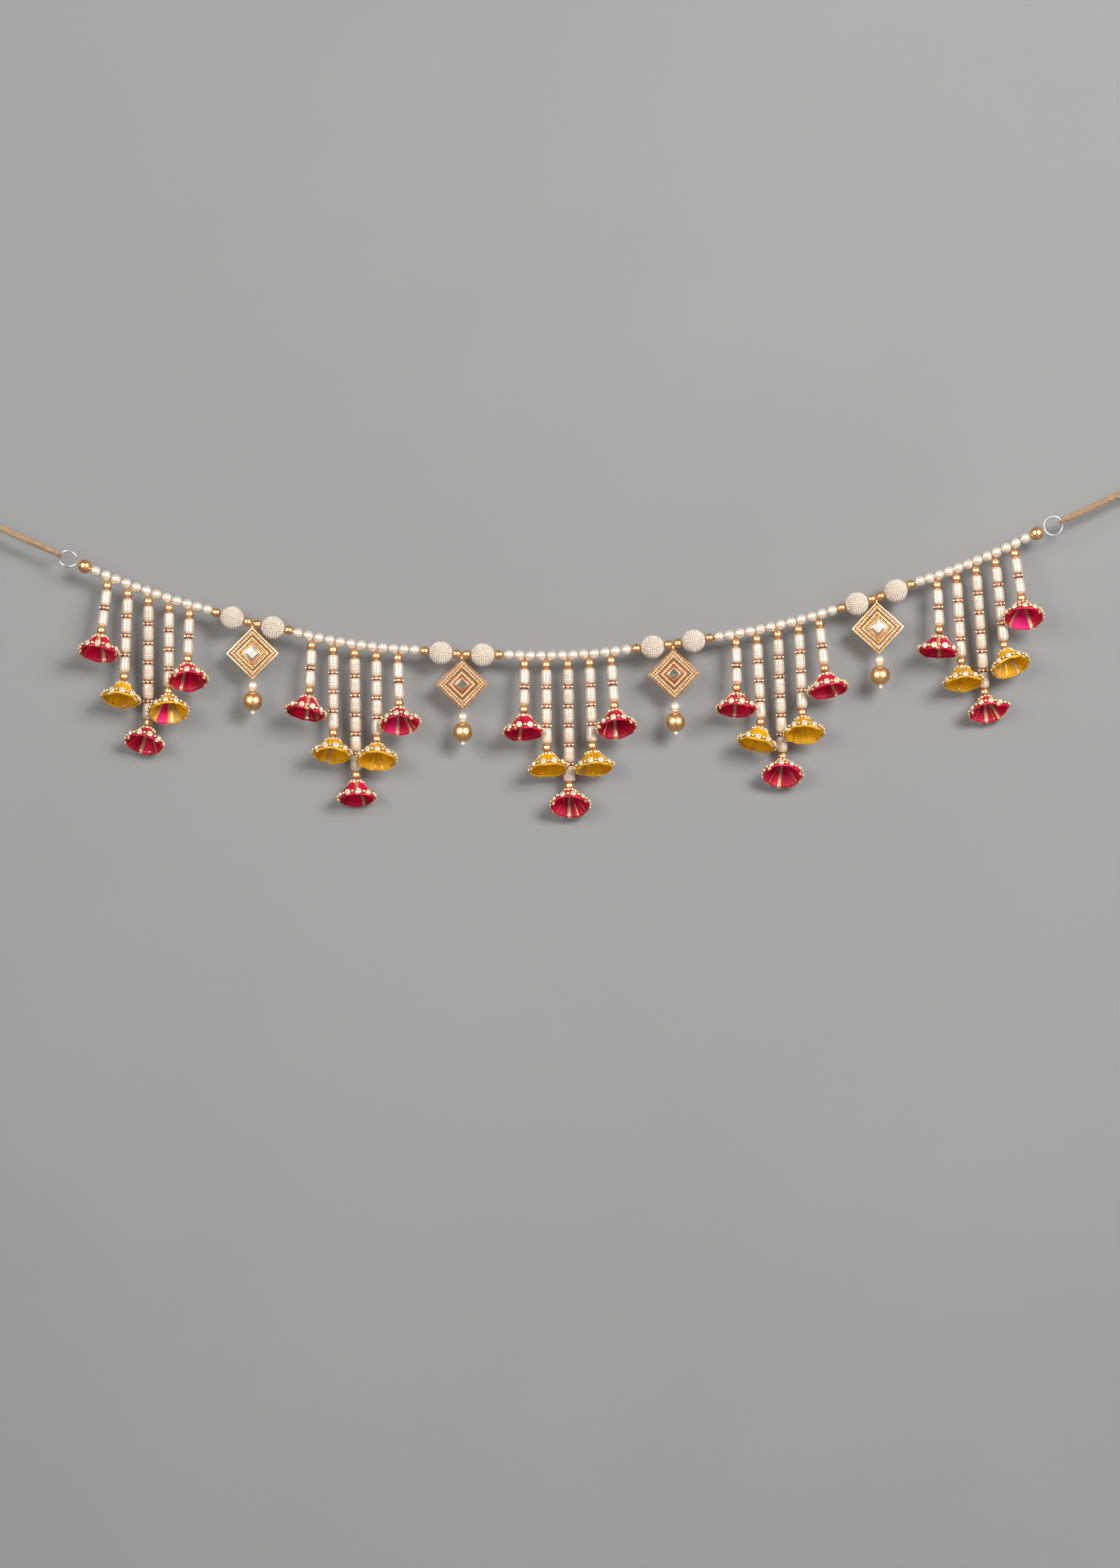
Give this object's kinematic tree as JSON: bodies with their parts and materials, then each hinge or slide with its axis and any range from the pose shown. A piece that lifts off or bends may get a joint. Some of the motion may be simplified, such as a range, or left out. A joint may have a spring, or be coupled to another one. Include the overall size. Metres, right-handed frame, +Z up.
{
  "type": "toran door hanging",
  "caption": "Beaded toran for a doorway: a pearl garland with bead strands that end in silk bells, square pendants, and a split ring with a jute tie at each end.",
  "frame": {"origin": "middle of the garland, on its thread between the sixth and seventh pearls of the middle section", "axes": "+X to the right along the garland, +Z up, -Y towards the viewer"},
  "size_m": [1.0913, 0.0556, 0.3166],
  "materials": {
    "garland_pearl": "pearl-coated round beads with warm off-white seed-pearl balls",
    "strand_pearl": "pearl-coated oval beads with faint ribs",
    "gold_bead": "satin antique gold beads",
    "copper_spacer": "copper-brown spacer discs and chain backing",
    "chain_gold": "small pale gold balls of chains and spacers",
    "rhinestone": "clear faceted stones in gold cups",
    "silk_red": "crimson satin silk with radial creases",
    "silk_yellow": "yellow satin silk with radial creases",
    "lace_gold": "woven gold metal-thread lace",
    "pendant_gold": "antique gold plate with raised granules",
    "enamel": "red enamel line",
    "steel": "polished split ring",
    "jute": "natural twisted jute cord"
  },
  "bodies": {
    "root": {"garland": "garland_pearl", "ring_left": "steel", "ring_right": "steel", "tie_left": "jute", "tie_right": "jute", "strand_1_1": "strand_pearl", "strand_1_2": "strand_pearl", "strand_1_3": "strand_pearl", "strand_1_4": "strand_pearl", "strand_1_5": "strand_pearl", "strand_2_1": "strand_pearl", "strand_2_2": "strand_pearl", "strand_2_3": "strand_pearl", "strand_2_4": "strand_pearl", "strand_2_5": "strand_pearl", "strand_3_1": "strand_pearl", "strand_3_2": "strand_pearl", "strand_3_3": "strand_pearl", "strand_3_4": "strand_pearl", "strand_3_5": "strand_pearl", "strand_4_1": "strand_pearl", "strand_4_2": "strand_pearl", "strand_4_3": "strand_pearl", "strand_4_4": "strand_pearl", "strand_4_5": "strand_pearl", "strand_5_1": "strand_pearl", "strand_5_2": "strand_pearl", "strand_5_3": "strand_pearl", "strand_5_4": "strand_pearl", "strand_5_5": "strand_pearl", "bell_1_1": "silk_red", "bell_1_2": "silk_yellow", "bell_1_3": "silk_red", "bell_1_4": "silk_yellow", "bell_1_5": "silk_red", "bell_2_1": "silk_red", "bell_2_2": "silk_yellow", "bell_2_3": "silk_red", "bell_2_4": "silk_yellow", "bell_2_5": "silk_red", "bell_3_1": "silk_red", "bell_3_2": "silk_yellow", "bell_3_3": "silk_red", "bell_3_4": "silk_yellow", "bell_3_5": "silk_red", "bell_4_1": "silk_red", "bell_4_2": "silk_yellow", "bell_4_3": "silk_red", "bell_4_4": "silk_yellow", "bell_4_5": "silk_red", "bell_5_1": "silk_red", "bell_5_2": "silk_yellow", "bell_5_3": "silk_red", "bell_5_4": "silk_yellow", "bell_5_5": "silk_red", "pendant_1": "pendant_gold", "pendant_2": "pendant_gold", "pendant_3": "pendant_gold", "pendant_4": "pendant_gold"}
  },
  "joints": []
}
